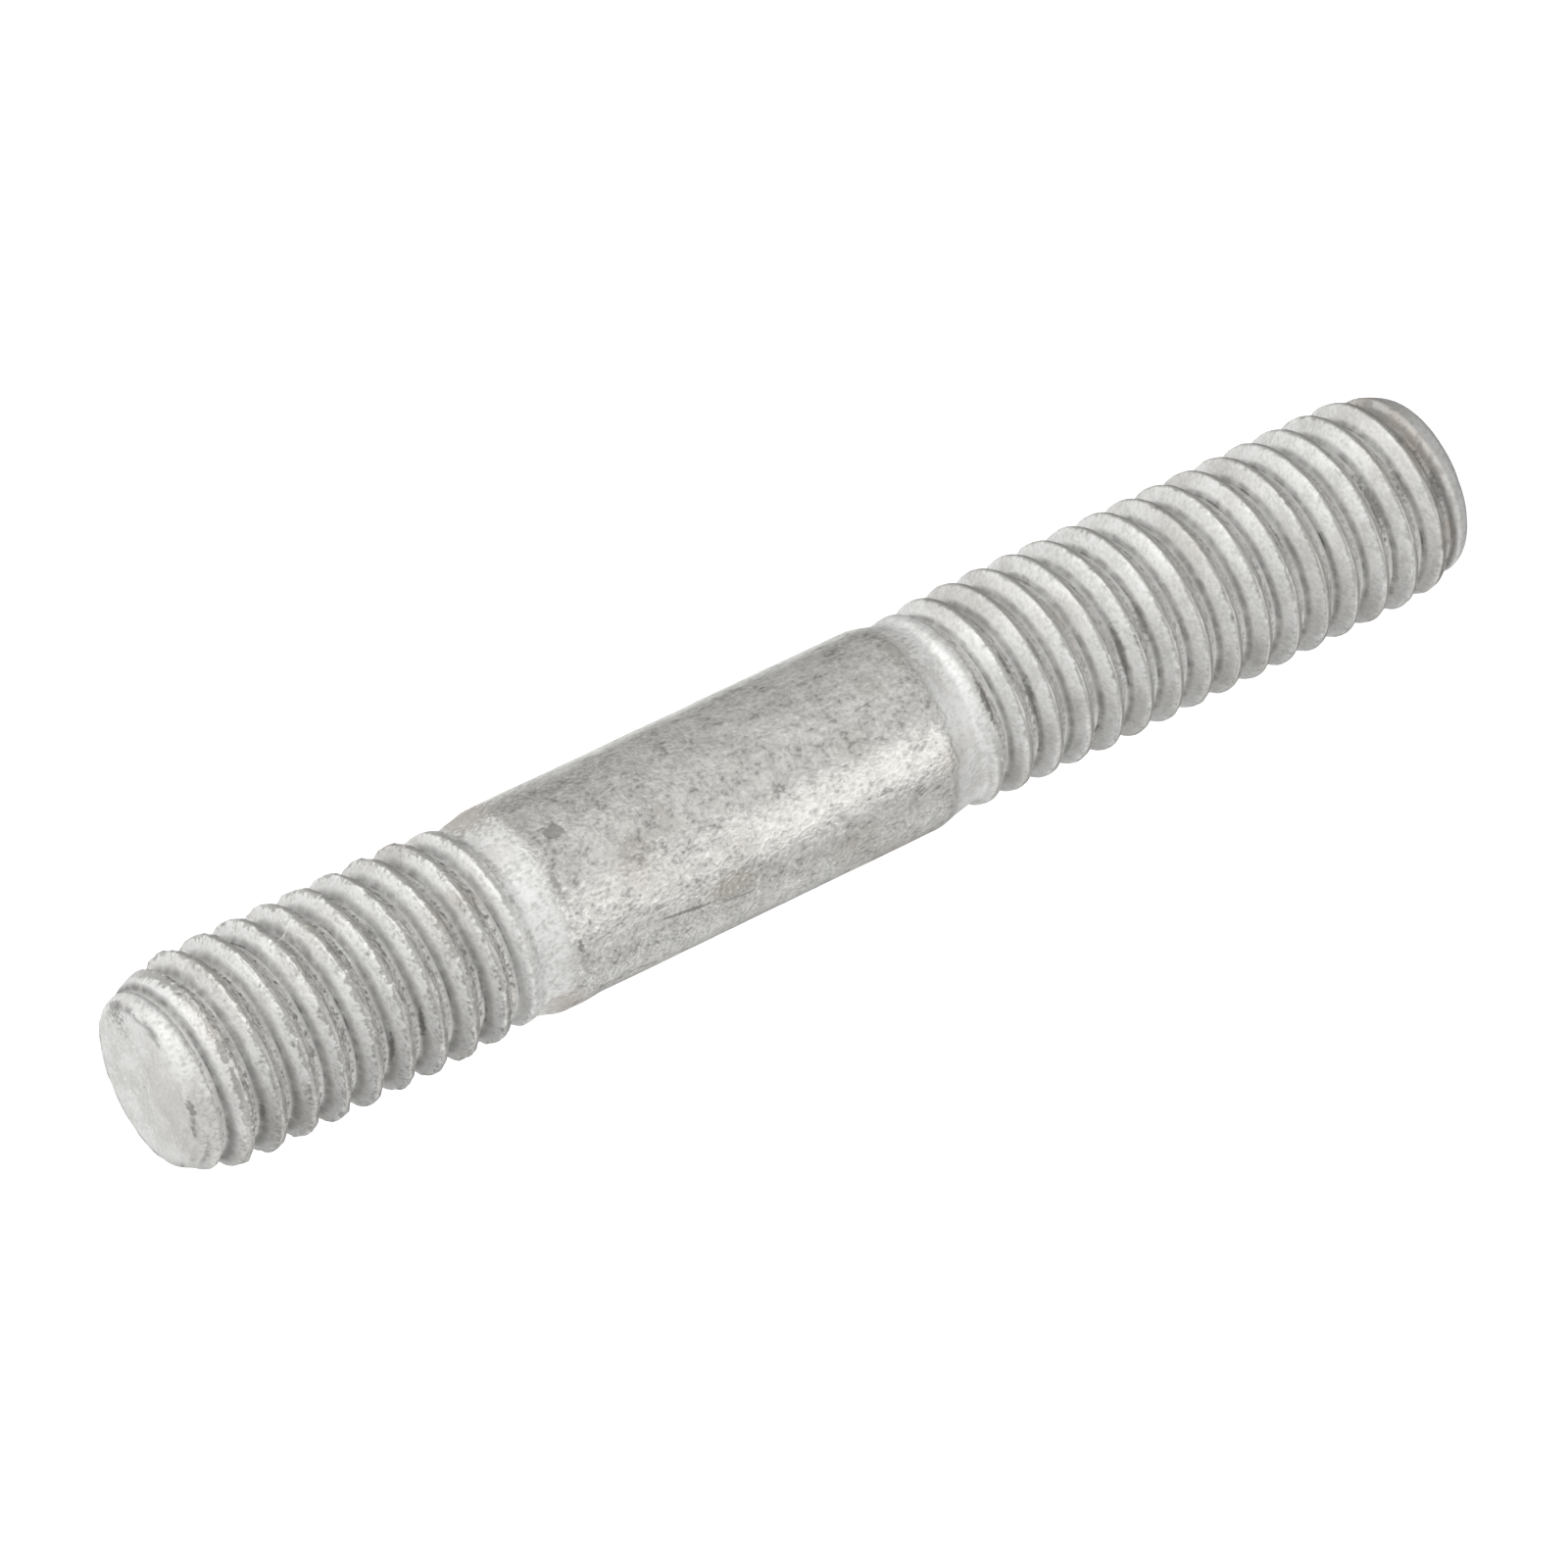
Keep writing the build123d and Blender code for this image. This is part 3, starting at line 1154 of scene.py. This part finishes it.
@dataclass(frozen=True)
class Viewpoint:
    """Where the camera stands, by angles about the stud's axis and a distance."""

    tilt_deg: float = 25.0
    roll_deg: float = 25.4995
    distance: float = 272.8
    aim_height: float = 21.48
    aside: float = -0.173
    below: float = 0.013
    lens: float = 234.476
    sensor: float = 36.0
    nearest: float = 0.01
    farthest: float = 20.0

    def axes(self) -> tuple[Vector, Vector, Vector]:
        """The camera's right, up and forward directions.

        Returns:
            Three unit vectors in the row frame.
        """
        tilt, roll = math.radians(self.tilt_deg), math.radians(self.roll_deg)
        st, ct, sr, cr = math.sin(tilt), math.cos(tilt), math.sin(roll), math.cos(roll)
        right = Vector((-sr, -cr * st, -cr * ct))
        up = Vector((cr, -sr * st, -sr * ct))
        forward = Vector((0.0, ct, -st))
        return right, up, forward

    def build(self) -> bpy.types.Object:
        """Creates the camera and makes it the scene's.

        Returns:
            The camera object.
        """
        right, up, forward = self.axes()
        target = Vector((0.0, 0.0, self.aim_height))
        offset = self.aside * right - self.below * up + self.distance * forward
        place = (target - offset) * MM
        turn = Matrix((right, up, -forward)).transposed()
        camera = bpy.data.cameras.new("camera")
        camera.lens = self.lens
        camera.sensor_width = self.sensor
        camera.clip_start = self.nearest
        camera.clip_end = self.farthest
        body = bpy.data.objects.new("camera", camera)
        body.matrix_world = Matrix.Translation(place) @ turn.to_4x4()
        bpy.context.scene.collection.objects.link(body)
        bpy.context.scene.camera = body
        return body


@dataclass(frozen=True)
class Softbox:
    """A square soft white light at a bearing and a height angle, facing the stud."""

    name: str
    bearing_deg: float
    height_deg: float
    side: float
    level: float
    distance: float = 0.4

    def build(self, target: Vector) -> bpy.types.Object:
        """Creates the light.

        The power gives the stud the level as reflected light from a white surface that
        faces the lamp: pi squared times the squared distance.

        Args:
            target: What the lamp faces, in metres.

        Returns:
            The light object.
        """
        bearing, rise = math.radians(self.bearing_deg), math.radians(self.height_deg)
        flat = math.cos(rise)
        way = Vector((flat * math.cos(bearing), flat * math.sin(bearing), math.sin(rise)))
        lamp = bpy.data.lights.new(self.name, "AREA")
        lamp.shape = "SQUARE"
        lamp.size = self.side
        lamp.energy = self.level * math.pi**2 * self.distance**2
        body = bpy.data.objects.new(self.name, lamp)
        turn = way.to_track_quat("Z", "Y").to_matrix().to_4x4()
        body.matrix_world = Matrix.Translation(target + way * self.distance) @ turn
        body.visible_camera = False
        bpy.context.scene.collection.objects.link(body)
        return body


@dataclass(frozen=True)
class Studio:
    """White light table, soft lamps and an even surround."""

    floor_side: float = 4.0
    floor_drop: float = 0.02
    floor_colour: Colour = (0.25, 0.25, 0.25, 1.0)
    floor_glow: float = 1.0
    surround: float = 0.01
    target_height: float = 21.0
    lamps: tuple[Softbox, ...] = (
        Softbox("key_softbox", -50.0, 32.0, side=0.26, level=0.88),
        Softbox("high_key_softbox", -25.0, 52.0, side=0.26, level=0.38),
        Softbox("low_left_softbox", -127.0, -24.0, side=0.24, level=0.55),
        Softbox("back_softbox", 95.0, 58.0, side=0.3, level=0.36),
        Softbox("rim_left_softbox", 153.0, -2.0, side=0.34, level=0.38),
        Softbox("left_softbox", 180.0, 12.0, side=0.26, level=0.34),
        Softbox("low_back_softbox", 76.0, -20.0, side=0.2, level=0.20),
        Softbox("rim_right_softbox", 45.0, 10.0, side=0.3, level=0.16),
        Softbox("low_right_softbox", -65.0, -20.0, side=0.3, level=0.15),
    )

    def build(self) -> None:
        """Creates the floor, the lamps and the surround."""
        self._floor()
        for lamp in self.lamps:
            lamp.build(Vector((0.0, 0.0, self.target_height * MM)))
        world = bpy.data.worlds.new("surround")
        bpy.context.scene.world = world
        world.use_nodes = True
        bench = Bench(world.node_tree)
        sockets = {"Color": WHITE, "Strength": self.surround}
        light = bench.add("ShaderNodeBackground", {}, sockets)
        bench.add("ShaderNodeOutputWorld", {}, {"Surface": light}, None)
        bpy.context.scene.view_settings.view_transform = "Standard"

    def _floor(self) -> None:
        """Creates the pale floor that the stud stands on.

        The stud's own light doesn't see it, so that the low lamps reach the underside.
        """
        half = 0.5 * self.floor_side
        signs = ((-1, -1), (1, -1), (1, 1), (-1, 1))
        corners = [(x * half, y * half, -self.floor_drop * MM) for x, y in signs]
        mesh = bpy.data.meshes.new("floor")
        mesh.from_pydata(corners, [], [(0, 1, 2, 3)])
        material = bpy.data.materials.new("pale_floor")
        material.use_nodes = True
        bench = Bench(material.node_tree)
        sockets = {
            "Base Color": self.floor_colour,
            "Roughness": 1.0,
            "Specular IOR Level": 0.0,
            "Emission Color": WHITE,
            "Emission Strength": self.floor_glow,
        }
        shader = bench.add("ShaderNodeBsdfPrincipled", {}, sockets)
        bench.add("ShaderNodeOutputMaterial", {}, {"Surface": shader}, None)
        mesh.materials.append(material)
        floor = bpy.data.objects.new("floor", mesh)
        floor.visible_diffuse = floor.visible_glossy = floor.visible_shadow = False
        bpy.context.scene.collection.objects.link(floor)


def main() -> None:
    """Builds the stud, then the studio and the camera."""
    logging.basicConfig(level=logging.INFO)
    Stud().build()
    Studio().build()
    Viewpoint().build()


if __name__ == "__main__":
    main()
